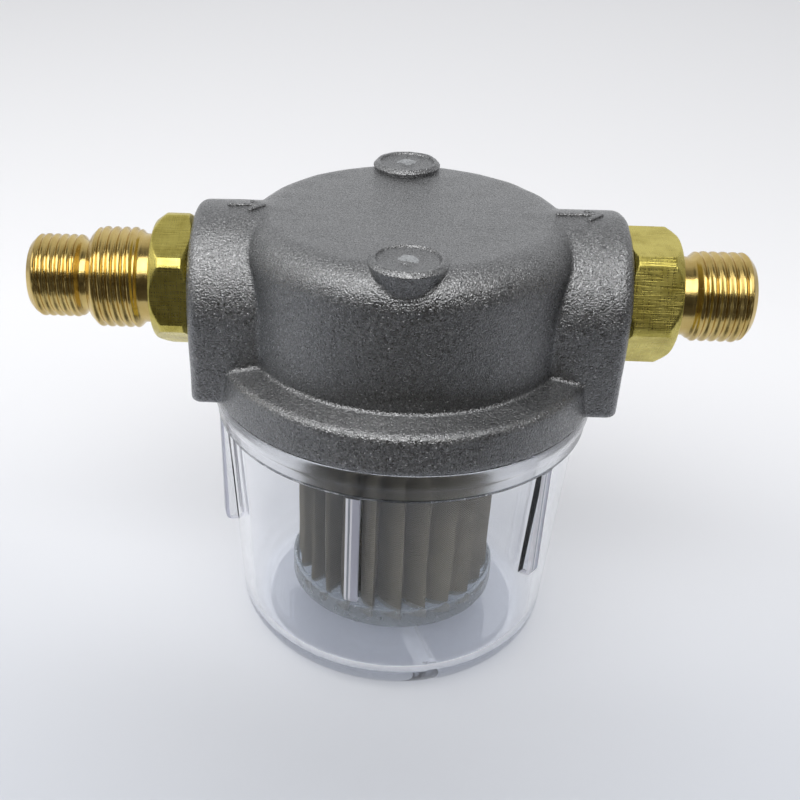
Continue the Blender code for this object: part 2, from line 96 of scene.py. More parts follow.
back = np.array([math.sin(VIEW_TURN) * math.cos(VIEW_TILT), -math.cos(VIEW_TURN) * math.cos(VIEW_TILT),
                 math.sin(VIEW_TILT)])
level = unit(np.cross(-back, [0.0, 0.0, 1.0]))
upright = np.cross(level, -back)
right = math.cos(VIEW_ROLL) * level + math.sin(VIEW_ROLL) * upright
up = math.cos(VIEW_ROLL) * upright - math.sin(VIEW_ROLL) * level
place = VIEW_TARGET + VIEW_DISTANCE * back
lens = bpy.data.cameras.new("camera")
lens.sensor_width = SENSOR_MM
lens.lens = LENS_MM
lens.shift_x, lens.shift_y = LENS_SHIFT
lens.clip_start = 0.005
camera = bpy.data.objects.new("camera", lens)
camera.matrix_world = Matrix(np.vstack([np.column_stack([right, up, back, place]), [0, 0, 0, 1]]).tolist())
bpy.context.scene.collection.objects.link(camera)
bpy.context.scene.camera = camera
bpy.context.scene.view_settings.view_transform = "Standard"

floor_material, tree, output = new_material("table_painted_shadow")
ground = add_node(tree, "ShaderNodeTexCoord").outputs["Object"]
along = add_node(tree, "ShaderNodeSeparateXYZ", {"Vector": ground})
# Painted shadow: the table's colour runs from grey at the front to pale at the back, as if shade fell across
# its front.
near = add_node(tree, "ShaderNodeMapRange",
                {"Value": along.outputs["Y"], "From Min": -0.12, "From Max": 0.13},
                interpolation_type="SMOOTHSTEP")
shade = add_node(tree, "ShaderNodeMix", {"Factor": near.outputs[0], "A": linear("#BEC2CA"),
                                         "B": linear("#F3F3F5")}, data_type="RGBA")
shader = add_node(tree, "ShaderNodeBsdfPrincipled", {"Base Color": shade.outputs["Result"], "Roughness": 0.6})
tree.links.new(shader.outputs[0], output.inputs[0])
floor_mesh = bpy.data.meshes.new("table")
reach = 3.0
floor_mesh.from_pydata([(-reach, -reach, 0), (reach, -reach, 0), (reach, reach, 0), (-reach, reach, 0)], [],
                       [(0, 1, 2, 3)])
floor_mesh.materials.append(floor_material)
table = bpy.data.objects.new("table", floor_mesh)
bpy.context.scene.collection.objects.link(table)

world = bpy.data.worlds.new("studio")
world.use_nodes = True
tree = world.node_tree
sky = tree.nodes["Background"]
around = add_node(tree, "ShaderNodeTexCoord").outputs["Generated"]
way = add_node(tree, "ShaderNodeSeparateXYZ", {"Vector": around})
depth = add_node(tree, "ShaderNodeMapRange", {"Value": way.outputs["Y"], "From Min": -0.5, "From Max": 0.85})
tone = add_node(tree, "ShaderNodeMix",
                {"Factor": depth.outputs[0], "A": linear("#38342F"), "B": linear("#EFF0F2")},
                data_type="RGBA")
overhead = add_node(tree, "ShaderNodeMapRange", {"Value": way.outputs["Z"], "From Min": 0.90,
                                                 "From Max": 0.99, "To Min": 1.0, "To Max": 0.25})
tree.links.new(tone.outputs["Result"], sky.inputs["Color"])
tree.links.new(overhead.outputs[0], sky.inputs["Strength"])
bpy.context.scene.world = world


def add_softbox(name, turn, tilt, away, width, height, power, colour, in_metal=True):
    """An area light that faces the strainer from turn degrees round it and tilt degrees up."""
    lamp = bpy.data.lights.new(name, "AREA")
    lamp.shape = "RECTANGLE"
    lamp.size, lamp.size_y = width, height
    lamp.energy = power
    lamp.color = linear(colour)[:3]
    turn, tilt = math.radians(turn), math.radians(tilt)
    facing = np.array([math.sin(turn) * math.cos(tilt), -math.cos(turn) * math.cos(tilt), math.sin(tilt)])
    side = unit(np.cross([0.0, 0.0, 1.0], facing))
    spot = np.array([0.0, 0.0, 0.06]) + away * facing
    item = bpy.data.objects.new(name, lamp)
    item.matrix_world = Matrix(np.vstack([np.column_stack([side, np.cross(facing, side), facing, spot]),
                                          [0, 0, 0, 1]]).tolist())
    item.visible_camera = False
    item.visible_glossy = in_metal
    bpy.context.scene.collection.objects.link(item)


add_softbox("window_light", -6, 55, 0.55, 0.70, 0.40, 3.0, "#FFFFFF")
add_softbox("rear_light", 175, 52, 1.30, 1.60, 0.80, 6.5, "#FCFDFF", in_metal=False)
add_softbox("left_light", -80, 35, 0.80, 0.50, 0.50, 1.2, "#FFFFFF")

flag_material, tree, output = new_material("black_card")
shader = add_node(tree, "ShaderNodeBsdfPrincipled", {"Base Color": linear("#35312D"), "Roughness": 0.9})
tree.links.new(shader.outputs[0], output.inputs[0])
flag_mesh = bpy.data.meshes.new("front_flag")
flag_mesh.from_pydata([(-0.26, -0.082, 0.001), (0.08, -0.082, 0.001), (0.50, 0.08, 0.001),
                       (0.50, -0.60, 0.001), (-0.30, -0.60, 0.001), (0.50, -0.60, 0.33),
                       (-0.30, -0.60, 0.33)], [],
                      [(0, 4, 3, 1), (1, 3, 2), (4, 6, 5, 3)])
flag_mesh.materials.append(flag_material)
flag = bpy.data.objects.new("front_flag", flag_mesh)
flag.visible_camera = flag.visible_diffuse = flag.visible_shadow = flag.visible_transmission = False
bpy.context.scene.collection.objects.link(flag)

# ================================================================================================
# Head: an aluminium casting, shot-blasted and left bare. A drum with a rounded shoulder stands on a
# flange, and an arched boss on either side holds a port. The forms run together with small fillets,
# as a pattern-maker leaves them, and only the sockets inside are machined.
# ================================================================================================
head_low, head_high = (np.array(corner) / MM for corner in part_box("head_casting"))
HEAD_BOTTOM = head_low[2]
HEAD_TOP = HEAD_BOTTOM + 27.6
BOSS_REACH = head_high[0]
BOSS_HALF_WIDTH, BOSS_ARCH_Z = 13.9, HEAD_BOTTOM + 13.8
DRUM_R, FLANGE_R, FLANGE_TOP = 26.0, head_high[1], HEAD_BOTTOM + 6.9
SHOULDER_RADIUS = 5.2
SOCKET_R, SOCKET_TOP = 29.1, HEAD_BOTTOM + 4.3
CHAMBER_R, CHAMBER_TOP = 22.5, HEAD_BOTTOM + 23.8
PAD_X, PAD_Y, PAD_R, PAD_TOP = -0.4, 20.8, 5.65, head_high[2]
SKIN_STEP = 0.5


def rounded(a, b, radius):
    """Distance to where two forms overlap, with the edge between them rounded to radius."""
    out = np.hypot(np.maximum(a + radius, 0), np.maximum(b + radius, 0))
    return out + np.minimum(np.maximum(a + radius, b + radius), 0) - radius


def joined(a, b, fillet):
    """Distance to two forms run together: the nearer of the two, less a parabola across the fillet."""
    near = np.clip(0.5 + 0.5 * (b - a) / fillet, 0, 1)
    return b * (1 - near) + a * near - fillet * near * (1 - near)


def head_distance(points):
    """Distance in millimetres to the casting's surface, less than nothing inside the metal."""
    x, y, z = points.T
    rho = np.hypot(x, y)
    slope = 0.24 * np.clip(rho - DRUM_R - 0.5, 0, 6)
    flange = rounded(rho - FLANGE_R + 0.14 * (z - HEAD_BOTTOM), z - FLANGE_TOP + slope, 0.8)
    drum = rounded(rho - DRUM_R + 0.015 * (z - FLANGE_TOP), z - HEAD_TOP, SHOULDER_RADIUS)
    arch = np.where(z > BOSS_ARCH_Z, np.hypot(y, z - BOSS_ARCH_Z), np.abs(y)) - BOSS_HALF_WIDTH
    boss = rounded(rounded(arch, np.abs(x) - BOSS_REACH, 1.8), HEAD_BOTTOM - z, 0.9)
    boss = rounded(boss, 17 - np.abs(x), 0.5)
    metal = joined(drum, boss, 0.2)
    metal = joined(metal, flange, 0.2)
    metal = rounded(metal, HEAD_BOTTOM - z, 0.5)
    out = np.hypot(x - PAD_X, np.abs(y) - PAD_Y)
    pad = np.maximum(out - PAD_R + 0.1 + 0.27 * (PAD_TOP - z), np.maximum(PAD_TOP - 8 - z, z - PAD_TOP + 0.7))
    metal = joined(metal, pad, 0.3)
    chamber = rounded(rho - CHAMBER_R, z - CHAMBER_TOP, 3.0)
    across = np.hypot(y, z - port_z)
    duct = np.maximum(across - 6.4, -1 - x)
    hub = np.maximum(rho - 8.0, HEAD_BOTTOM + 8.5 - z)
    chamber = np.maximum(chamber, -joined(duct, hub, 1.5))
    socket = np.maximum(rho - SOCKET_R, z - SOCKET_TOP)
    ports = np.maximum(across - 6.6, BOSS_REACH - 11.5 - np.abs(x))
    bore = np.maximum(across - 4.5, -2 - x)
    drop = np.maximum(np.maximum(rho - 5.3, z - port_z - 1), HEAD_BOTTOM + 7 - z)
    for hollow in (chamber, socket, ports, bore, drop):
        metal = rounded(metal, -hollow, 0.25)
    return metal


def wandering(points, size, seed):
    """Slow unevenness from -1 to 1: sines of random direction and phase, size millimetres long."""
    chance = np.random.default_rng(seed)
    total = np.zeros(len(points))
    for _ in range(9):
        way = unit(chance.normal(size=3)) * 2 * math.pi / (size * chance.uniform(0.7, 1.5))
        total += np.sin(points @ way + chance.uniform(0, 2 * math.pi))
    return total / 4


def facing_out(points, faces):
    """The faces turned outwards: reversed if the volume they enclose, summed as tetrahedra from the origin,
    comes out negative."""
    volume = sum(np.einsum("ij,ij->", points[f[:, 0]], np.cross(points[f[:, k]], points[f[:, k + 1]]))
                 for f in faces for k in range(1, f.shape[1] - 1))
    return faces if volume > 0 else [f[:, ::-1] for f in faces]


def add_piece(name, points_mm, faces, materials, body, sharp_degrees=None, material_of_face=None,
              uv=None):
    """A mesh from points in millimetres and arrays of quads or triangles, riding on a CAD body."""
    faces = facing_out(points_mm, faces)
    corners = np.concatenate([f.ravel() for f in faces]).astype(np.int32)
    sides = np.concatenate([np.full(len(f), f.shape[1]) for f in faces])
    mesh = bpy.data.meshes.new(name)
    mesh.vertices.add(len(points_mm))
    mesh.vertices.foreach_set("co", (points_mm * MM).astype(np.float32).ravel())
    mesh.loops.add(len(corners))
    mesh.loops.foreach_set("vertex_index", corners)
    mesh.polygons.add(len(sides))
    mesh.polygons.foreach_set("loop_start", (np.cumsum(sides) - sides).astype(np.int32))
    for material in materials:
        mesh.materials.append(material)
    if material_of_face is not None:
        mesh.polygons.foreach_set("material_index", material_of_face.astype(np.int32))
    mesh.update(calc_edges=True)
    mesh.shade_smooth()
    if sharp_degrees is not None:
        mesh.set_sharp_from_angle(angle=math.radians(sharp_degrees))
    if uv is not None:
        layer = mesh.uv_layers.new(name="cloth_mm")
        layer.data.foreach_set("uv", uv[corners].astype(np.float32).ravel())
    item = bpy.data.objects.new(name, mesh)
    bpy.context.scene.collection.objects.link(item)
    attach(item, body)
    return item


def skin(distance, low, high, step):
    """Points and quads of a distance function's zero level. Each grid cell that the level crosses gets one
    point, the mean of the crossings on its edges, and each crossed grid edge joins its four cells. The
    points are then moved onto the level along its gradient."""
    axes = [np.arange(a, b + step, step) for a, b in zip(low, high)]
    grid = np.stack(np.meshgrid(*axes, indexing="ij"), axis=-1)
    size = np.array(grid.shape[:3])
    value = distance(grid.reshape(-1, 3)).reshape(size)
    total = np.zeros((*(size - 1), 3))
    count = np.zeros(size - 1)
    crossed = []
    for axis in range(3):
        first = tuple(slice(0, size[axis] - 1) if k == axis else slice(None) for k in range(3))
        second = tuple(slice(1, None) if k == axis else slice(None) for k in range(3))
        a, b = value[first], value[second]
        change = (a < 0) != (b < 0)
        share = np.where(change, a / np.where(change, a - b, 1), 0)
        point = grid[first] + share[..., None] * step * np.eye(3)[axis]
        point = np.where(change[..., None], point, 0)
        others = [k for k in range(3) if k != axis]
        for m in (0, 1):
            for n in (0, 1):
                part = [slice(None)] * 3
                part[others[0]] = slice(m, m + size[others[0]] - 1)
                part[others[1]] = slice(n, n + size[others[1]] - 1)
                total += point[tuple(part)]
                count += change[tuple(part)]
        crossed.append((change, a < 0, others))
    label = np.full(size - 1, -1)
    label[count > 0] = np.arange((count > 0).sum())
    points = total[count > 0] / count[count > 0][:, None]
    quads = []
    for axis, (change, inside, others) in enumerate(crossed):
        where = np.argwhere(change)
        corners = []
        for m, n in ((-1, -1), (0, -1), (0, 0), (-1, 0)):
            cell = where.copy()
            cell[:, others[0]] += m
            cell[:, others[1]] += n
            corners.append(label[tuple(cell.T)])
        quad = np.stack(corners, axis=1)
        turn = inside[tuple(where.T)] == (axis != 1)
        quad[~turn] = quad[~turn][:, ::-1]
        quads.append(quad)
    for _ in range(4):
        slope = gradient(distance, points, 0.05)
        move = distance(points) / np.maximum((slope ** 2).sum(axis=1), 0.2)
        points = points - np.clip(move, -step / 2, step / 2)[:, None] * slope
    return points, [np.concatenate(quads)]


def gradient(distance, points, reach_mm):
    """Slope of a distance function: half the difference between the values on either side."""
    steps = np.eye(3) * reach_mm
    return np.stack([distance(points + s) - distance(points - s) for s in steps], axis=1) / (2 * reach_mm)


def cast_aluminium(name, base, pale, rough):
    """Shot-blasted aluminium casting: bare grey metal, dull from its oxide, dimpled by the shot all over. The
    dimples scatter the light, and their tips glint. The colour is also painted lighter on the dimples' tips
    and darker in their pits, as painted glints and painted shade."""
    material, tree, output = new_material(name)
    place = add_node(tree, "ShaderNodeTexCoord").outputs["Object"]
    dimples = add_node(tree, "ShaderNodeTexNoise", {"Vector": place, "Scale": 4300.0, "Detail": 1.0})
    lumps = add_node(tree, "ShaderNodeTexNoise", {"Vector": place, "Scale": 2200.0, "Detail": 1.0})
    cloud = add_node(tree, "ShaderNodeTexNoise", {"Vector": place, "Scale": 90.0, "Detail": 4.0,
                                                  "Roughness": 0.6})
    oxide = add_node(tree, "ShaderNodeMix", {"Factor": cloud.outputs["Fac"], "A": linear(base),
                                             "B": linear(pale)}, data_type="RGBA")
    # Painted glints and shade: the colour follows the dimples, lighter on their tips and darker in their
    # pits.
    painted_glint = add_node(tree, "ShaderNodeMapRange", {"Value": dimples.outputs["Fac"], "From Min": 0.35,
                                                  "From Max": 0.65, "To Min": 0.68, "To Max": 1.14})
    colour = add_node(tree, "ShaderNodeMix", {"Factor": 1.0, "A": oxide.outputs["Result"],
                                              "B": painted_glint.outputs[0]}, data_type="RGBA", blend_type="MULTIPLY")
    dull = add_node(tree, "ShaderNodeMapRange", {"Value": lumps.outputs["Fac"], "From Min": 0.3,
                                                 "From Max": 0.7, "To Min": rough, "To Max": rough + 0.14})
    bump = add_node(tree, "ShaderNodeBump", {"Height": lumps.outputs["Fac"], "Strength": 1.0,
                                             "Distance": 0.00005})
    fine = add_node(tree, "ShaderNodeBump", {"Height": dimples.outputs["Fac"], "Normal": bump.outputs[0],
                                             "Strength": 1.0, "Distance": 0.00017})
    shader = add_node(tree, "ShaderNodeBsdfPrincipled",
                      {"Base Color": colour.outputs["Result"], "Metallic": 1.0, "Roughness": dull.outputs[0],
                       "Normal": fine.outputs[0]})
    tree.links.new(shader.outputs[0], output.inputs[0])
    return material


aluminium = cast_aluminium("cast_aluminium_shot_blasted", "#88898A", "#9A9A9B", 0.22)
margin = 1.3
grid_low = np.array([head_low[0], head_low[1], HEAD_BOTTOM]) - margin
grid_high = np.array([head_high[0], head_high[1], HEAD_TOP]) + margin
head_points, head_quads = skin(head_distance, grid_low, grid_high, SKIN_STEP)
outside = gradient(head_distance, head_points, 0.05)
head_points = head_points + 0.035 * wandering(head_points, 5.0, 3)[:, None] * outside
casting = add_piece("head_skin", head_points, head_quads, [aluminium], "head")
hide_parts("head_casting")

# ================================================================================================
# Flow arrows: raised marks cast with the head, one on the top of each boss, 0.3 mm proud and with the
# rounded edges of a cast letter. They point from the inlet to the outlet.
# ================================================================================================


def segment_distance(x, y, start, end):
    """Distance in plan to the straight line from start to end: to its nearest point, held within its ends."""
    dx, dy = end[0] - start[0], end[1] - start[1]
    share = np.clip(((x - start[0]) * dx + (y - start[1]) * dy) / (dx * dx + dy * dy), 0, 1)
    return np.hypot(x - start[0] - share * dx, y - start[1] - share * dy)


def add_arrow(name, tail, tip):
    """A raised arrow along X: strokes 0.8 mm wide that follow the boss's surface 0.3 mm above it."""
    strokes = (((tail, 0.0), (tip, 0.0)), ((tip, 0.0), (tip - 1.9, 1.7)), ((tip, 0.0), (tip - 1.9, -1.7)))

    def distance(points):
        x, y, _ = points.T
        plan = np.min([segment_distance(x, y, *stroke) for stroke in strokes], axis=0) - 0.4
        above = head_distance(points)
        return np.maximum(rounded(plan, above - 0.3, 0.2), -above - 0.4)

    points, quads = skin(distance, [tail - 1, -2.6, HEAD_TOP - 2], [tip + 1, 2.6, HEAD_TOP + 1.2], 0.16)
    return add_piece(name, points, quads, [aluminium], "head")


add_arrow("inlet_arrow", -27.6, -22.4)
add_arrow("outlet_arrow", 22.4, 28.8)

# ================================================================================================
# Unions: brass, turned from hexagon bar and screwed into the head. The inlet has two outside threads
# and the outlet one. The turned faces are bright, and the flats keep the bar's drawn skin, drab and
# scored by the draw plate.
# ================================================================================================
HEX_COUNT = 6
FLAT_HALF_ANGLE = 25.8


def eased(corners, step):
    """Points along a line through corners (u, v, ease): each corner is a circular arc that starts and ends
    `ease` away from it, and the straights between are sampled about every step."""
    spots = np.array([c[:2] for c in corners], dtype=float)
    path = [spots[:1]]
    for k in range(1, len(corners)):
        if k < len(corners) - 1 and corners[k][2] > 0:
            before, after = unit(spots[k - 1] - spots[k]), unit(spots[k + 1] - spots[k])
            first, last = spots[k] + corners[k][2] * before, spots[k] + corners[k][2] * after
            weight = math.sqrt(max(0.0, (1 - before @ after) / 2))
            t = np.linspace(0, 1, 3 + int(abs(corners[k][2]) / step * 1.5))[:, None]
            share = (1 - t) ** 2, 2 * weight * t * (1 - t), t ** 2
            bend = (share[0] * first + share[1] * spots[k] + share[2] * last) / sum(share)
        else:
            bend = spots[k:k + 1]
        gap = np.linalg.norm(bend[0] - path[-1][-1])
        t = np.linspace(0, 1, 1 + max(1, int(gap / step)))[1:-1, None]
        path += [path[-1][-1] * (1 - t) + bend[0] * t, bend]
    return np.concatenate(path)


def spin(along, radius, angles, axis):
    """Rows of points round X or Z: each at its distance along the axis and its radius, at every angle.
    along and radius hold a number for each row, or for each row and angle."""
    along = along[:, None] if along.ndim == 1 else along
    radius = radius[:, None] if radius.ndim == 1 else radius
    along, radius, angles = np.broadcast_arrays(along, radius, angles)
    parts = (along, radius * np.cos(angles), radius * np.sin(angles))
    return np.stack(parts if axis == "X" else (parts[1], parts[2], parts[0]), axis=-1)


def wrapped(rows, looped=True):
    """Points and faces of rows of points that close on themselves. Quads join neighbouring rows, and then
    either the last row joins the first, or a fan closes each end on the middle of its row."""
    index = np.arange(rows.shape[0] * rows.shape[1]).reshape(rows.shape[:2])
    lower, upper = (index, np.roll(index, -1, axis=0)) if looped else (index[:-1], index[1:])
    quads = np.stack([lower, np.roll(lower, -1, axis=1), np.roll(upper, -1, axis=1), upper], axis=-1)
    points = rows.reshape(-1, 3)
    faces = [quads.reshape(-1, 4)]
    if not looped:
        pole = np.full(rows.shape[1], len(points))
        faces.append(np.stack([pole, np.roll(index[0], -1), index[0]], axis=-1))
        faces.append(np.stack([pole + 1, index[-1], np.roll(index[-1], -1)], axis=-1))
        points = np.vstack([points, rows[0].mean(axis=0), rows[-1].mean(axis=0)])
    return points, faces


def hexagon(angles, flat_r, turned_to):
    """Radius of a hexagon with slightly rounded corners: the flats' distances added as high powers."""
    faces = turned_to + np.arange(HEX_COUNT) * math.tau / HEX_COUNT
    near = np.maximum(np.cos(angles - faces[:, None]), 0)
    return flat_r / (near ** 300).sum(axis=0) ** (1 / 300)


def thread_radius(x, angles, crest_r, pitch, depth, start):
    """Radius of a right-hand thread: from the crest down a smooth step to the root and back, once a pitch,
    moved along by a pitch for each turn."""
    turns = (x - start) / pitch - angles / math.tau
    from_crest = np.abs((turns + 0.5) % 1 - 0.5)
    share = np.clip((from_crest - 0.06) / 0.40, 0, 1)
    return crest_r - depth * share * share * (3 - 2 * share)


def add_union(name, side, corners, hexes, threads, angle_count):
    """A union on one side of the head: its profile spun round the port's axis, cut to the hexagon between
    hexes' limits and to the threads between theirs."""
    profile = eased(corners, 0.085)
    edges = hexes[3] + np.arange(HEX_COUNT)[:, None] * 60 + np.array([-FLAT_HALF_ANGLE, FLAT_HALF_ANGLE])
    edges = np.radians(edges).ravel() % math.tau
    angles = np.sort(np.concatenate([np.arange(angle_count) * math.tau / angle_count, edges]))
    angle_count = len(angles)
    along, radius = profile[:, :1], np.repeat(profile[:, 1:], angle_count, axis=1)
    outer = np.arange(len(profile))[:, None] < np.argmax(profile[:, 0]) + 1
    hex_from, hex_to, flat_r, turned_to = hexes
    in_hex = outer & (along > hex_from - 0.01) & (along < hex_to + 0.01)
    radius = np.where(in_hex, np.minimum(radius, hexagon(angles, flat_r, math.radians(turned_to))), radius)
    for thread_from, thread_to, *shape in threads:
        cut = thread_radius(side * along, angles, *shape)
        inside = outer & (along > thread_from) & (along < thread_to)
        radius = np.where(inside, np.minimum(radius, cut), radius)
    rows = spin(side * profile[:, 0], radius, angles, "X") + np.array([0, 0, port_z])
    points, faces = wrapped(rows)
    flat = np.repeat((in_hex & (radius > flat_r - 1.2)).any(axis=1), angle_count)
    union = add_piece(name + "_turned", points, faces, [turned_brass, bar_brass], "head", 23,
                      flat)
    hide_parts(name)


def brass(name, base, dark, rough, scoring):
    """Brass: bright where it was turned, and a drabber yellow under the bar's drawn skin. Fine turning
    marks or scores run round it, and stains make it uneven."""
    material, tree, output = new_material(name)
    place = add_node(tree, "ShaderNodeTexCoord").outputs["Object"]
    stain = add_node(tree, "ShaderNodeTexNoise", {"Vector": place, "Scale": 260.0, "Detail": 5.0,
                                                  "Roughness": 0.65})
    tint = add_node(tree, "ShaderNodeMapRange", {"Value": stain.outputs["Fac"], "From Min": 0.42,
                                                 "From Max": 0.75})
    colour = add_node(tree, "ShaderNodeMix",
                      {"Factor": tint.outputs[0], "A": linear(base), "B": linear(dark)}, data_type="RGBA")
    stretch = add_node(tree, "ShaderNodeMapping", {"Vector": place, "Scale": (6000.0, 220.0, 220.0)})
    score = add_node(tree, "ShaderNodeTexNoise", {"Vector": stretch.outputs[0], "Scale": 1.0, "Detail": 2.0})
    cross = add_node(tree, "ShaderNodeMapping", {"Vector": place, "Scale": (260.0, 4800.0, 4800.0)})
    other = add_node(tree, "ShaderNodeTexNoise", {"Vector": cross.outputs[0], "Scale": 1.0, "Detail": 2.0})
    both = add_node(tree, "ShaderNodeMath", {0: score.outputs["Fac"], 1: other.outputs["Fac"]},
                    operation="ADD")
    dull = add_node(tree, "ShaderNodeMapRange", {"Value": both.outputs[0], "From Min": 0.6, "From Max": 1.4,
                                                 "To Min": rough - 0.05, "To Max": rough + 0.10})
    bump = add_node(tree, "ShaderNodeBump", {"Height": both.outputs[0], "Strength": scoring,
                                             "Distance": 0.00006})
    shader = add_node(tree, "ShaderNodeBsdfPrincipled",
                      {"Base Color": colour.outputs["Result"], "Metallic": 1.0, "Roughness": dull.outputs[0],
                       "Normal": bump.outputs[0]})
    tree.links.new(shader.outputs[0], output.inputs[0])
    return material


turned_brass = brass("turned_brass", "#D2B976", "#BEA25E", 0.18, 0.12)
bar_brass = brass("drawn_bar_brass", "#D6C86E", "#A99944", 0.27, 0.55)

add_union("inlet_union", -1,
          [(23.2, 3.5, 0), (23.2, 6.3, 0.5), (33.4, 6.3, 0), (33.4, 9.5, 0.1), (34.2, 10.55, 0.2),
           (37.8, 10.55, 0.3), (39.5, 9.3, 0.3), (39.5, 7.05, 0.2), (41.6, 7.05, 0.4), (42.5, 8.0, 0.3),
           (48.6, 8.0, 0.4), (49.7, 6.9, 0.2), (49.9, 5.6, 0.3), (51.0, 5.6, 0.4), (51.8, 6.58, 0.3),
           (58.3, 6.58, 0.4), (59.5, 5.4, 0.2), (59.5, 4.5, 0.1), (58.4, 3.5, 0.2), (23.2, 3.5, 0)],
          (33.4, 39.5, 9.5, -7),
          [(41.6, 49.9, 8.0, 1.5, 0.46, 0.0), (50.9, 59.6, 6.58, 1.337, 0.42, 0.0)], 132)
add_union("outlet_union", 1,
          [(23.2, 4.0, 0), (23.2, 6.3, 0.5), (33.5, 6.3, 0), (33.5, 10.0, 0.1), (34.0, 10.55, 0.1),
           (39.5, 10.55, 0.2), (41.1, 9.4, 0.3), (41.1, 6.1, 0.2), (43.7, 6.1, 0.4), (44.7, 7.0, 0.3),
           (51.9, 7.0, 0.4), (53.0, 5.8, 0.2), (53.0, 5.1, 0.1), (51.8, 4.0, 0.2), (23.2, 4.0, 0)],
          (33.5, 41.1, 9.5, 38), [(43.7, 53.1, 7.0, 1.5, 0.42, 0.6)], 132)

# ================================================================================================
# Thread seals: a thin dark brown ring between each union and its boss, its outside uneven.
# ================================================================================================


def matt(name, base, spots, rough, scale, bump_height):
    """Dull non-metal: rubber, the seal rings or moulded plastic, with a fine grain in its colour, gloss and
    relief.
    """
    material, tree, output = new_material(name)
    place = add_node(tree, "ShaderNodeTexCoord").outputs["Object"]
    grain = add_node(tree, "ShaderNodeTexNoise", {"Vector": place, "Scale": scale, "Detail": 4.0,
                                                  "Roughness": 0.65})
    colour = add_node(tree, "ShaderNodeMix", {"Factor": grain.outputs["Fac"], "A": linear(base),
                                              "B": linear(spots)}, data_type="RGBA")
    dull = add_node(tree, "ShaderNodeMapRange", {"Value": grain.outputs["Fac"], "To Min": rough - 0.1,
                                                 "To Max": rough + 0.1})
    bump = add_node(tree, "ShaderNodeBump", {"Height": grain.outputs["Fac"], "Strength": 0.5,
                                             "Distance": bump_height})
    shader = add_node(tree, "ShaderNodeBsdfPrincipled", {"Base Color": colour.outputs["Result"],
                                                         "Roughness": dull.outputs[0],
                                                         "Normal": bump.outputs[0]})
    tree.links.new(shader.outputs[0], output.inputs[0])
    return material


def add_ring(name, corners, axis, materials, body, node, wave=0.0, angle_count=96):
    """A ring spun round an axis from a closed profile, with its outside waving by `wave` millimetres."""
    profile = eased(corners, 0.2)
    angles = np.arange(angle_count) * math.tau / angle_count
    ripple = wave * (np.sin(5 * angles + 1) + np.sin(11 * angles) + np.sin(17 * angles + 2)) / 3
    radius = profile[:, 1:] + ripple * (profile[:, 1:] > profile[:, 1].mean())
    points, faces = wrapped(spin(profile[:, 0], radius, angles, axis))
    points = points + np.array([0, 0, port_z if axis == "X" else 0])
    ring = add_piece(name, points, faces, materials, body, 35)
    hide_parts(node)
    return ring


seal_dark_brown = matt("dark_brown_seal", "#33211A", "#5A3D2C", 0.7, 1500, 0.0001)
for side, node in ((-1, "inlet_seal"), (1, "outlet_seal")):
    add_ring(node + "_ring", [(side * 33.0, 6.7, 0), (side * 33.0, 9.4, 0.2), (side * 33.4, 9.2, 0.2),
                              (side * 33.4, 6.7, 0.1), (side * 33.0, 6.7, 0)],
             "X", [seal_dark_brown], "head", node, 0.12)

# ================================================================================================
# Pad faces: the tops of the two round pads cast on the head. Inside a plain rim each is pressed in like
# a saucer, with a ring scored round it and a low dome in its middle, worn pale.
# ================================================================================================
dish_r = np.linspace(0.0, 4.2, 30)[1:]
dish_z = PAD_TOP - 0.45 + 0.20 * (dish_r / 4.3) ** 2 + 0.42 * np.exp(-(dish_r / 1.5) ** 4)
edge = eased([(PAD_TOP - 0.42, 4.35, 0), (PAD_TOP, 4.55, 0.12), (PAD_TOP, 5.05, 0.1),
              (PAD_TOP - 0.62, PAD_R, 0.12), (PAD_TOP - 2.5, PAD_R - 0.6, 0.1), (PAD_TOP - 2.5, 1.0, 0)],
             0.12)
profile = np.concatenate([np.stack([dish_z, dish_r], axis=-1), edge])
angles = np.arange(96) * math.tau / 96
worn_aluminium = cast_aluminium("worn_aluminium", "#AEB0B2", "#D0D2D4", 0.36)
for side, name in ((-1, "front_pad_face"), (1, "rear_pad_face")):
    rows = spin(profile[:, 0], profile[:, 1], angles, "Z") + np.array([PAD_X, side * PAD_Y, 0])
    points, faces = wrapped(rows, looped=False)
    points = points + 0.04 * wandering(points, 2.5, 5)[:, None] * np.array([0, 0, 1])
    middle = np.concatenate([points[f].mean(axis=1) for f in faces])
    out = np.hypot(middle[:, 0] - PAD_X, middle[:, 1] - side * PAD_Y)
    worn = (out < 1.5 + 0.35 * wandering(middle, 1.6, 8)) & (middle[:, 2] > PAD_TOP - 1)
    add_piece(name, points, faces, [aluminium, worn_aluminium], "head", None, worn)

# ================================================================================================
# Centre nipple and bowl gasket: a short brass tube screwed up into the head, which the filter's grommet
# pushes onto, and a ring of black nitrile rubber that the bowl's rim is screwed against.
# ================================================================================================
nipple_low, nipple_high = (np.array(corner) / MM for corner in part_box("centre_nipple"))
NIPPLE_HEX_Z = nipple_low[2] + 9.2
profile = eased([(nipple_low[2], 3.4, 0), (nipple_low[2], 4.7, 0.1), (nipple_low[2] + 0.5, 5.0, 0.1),
                 (NIPPLE_HEX_Z, 5.0, 0), (NIPPLE_HEX_Z, 7.2, 0.1), (NIPPLE_HEX_Z + 0.5, 8.05, 0.1),
                 (NIPPLE_HEX_Z + 1.5, 8.05, 0.1), (NIPPLE_HEX_Z + 2, 7.2, 0.1), (NIPPLE_HEX_Z + 2, 5.0, 0),
                 (nipple_high[2], 5.0, 0.2), (nipple_high[2], 3.4, 0.2), (nipple_low[2], 3.4, 0)], 0.3)
angles = np.arange(72) * math.tau / 72
radius = profile[:, 1:]
radius = np.where(radius > 5.05, np.minimum(radius, hexagon(angles, 7.0, 0.0)), radius)
points, faces = wrapped(spin(profile[:, 0], radius, angles, "Z"))
nipple = add_piece("nipple_turned", points, faces, [turned_brass], "head", 32)
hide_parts("centre_nipple")

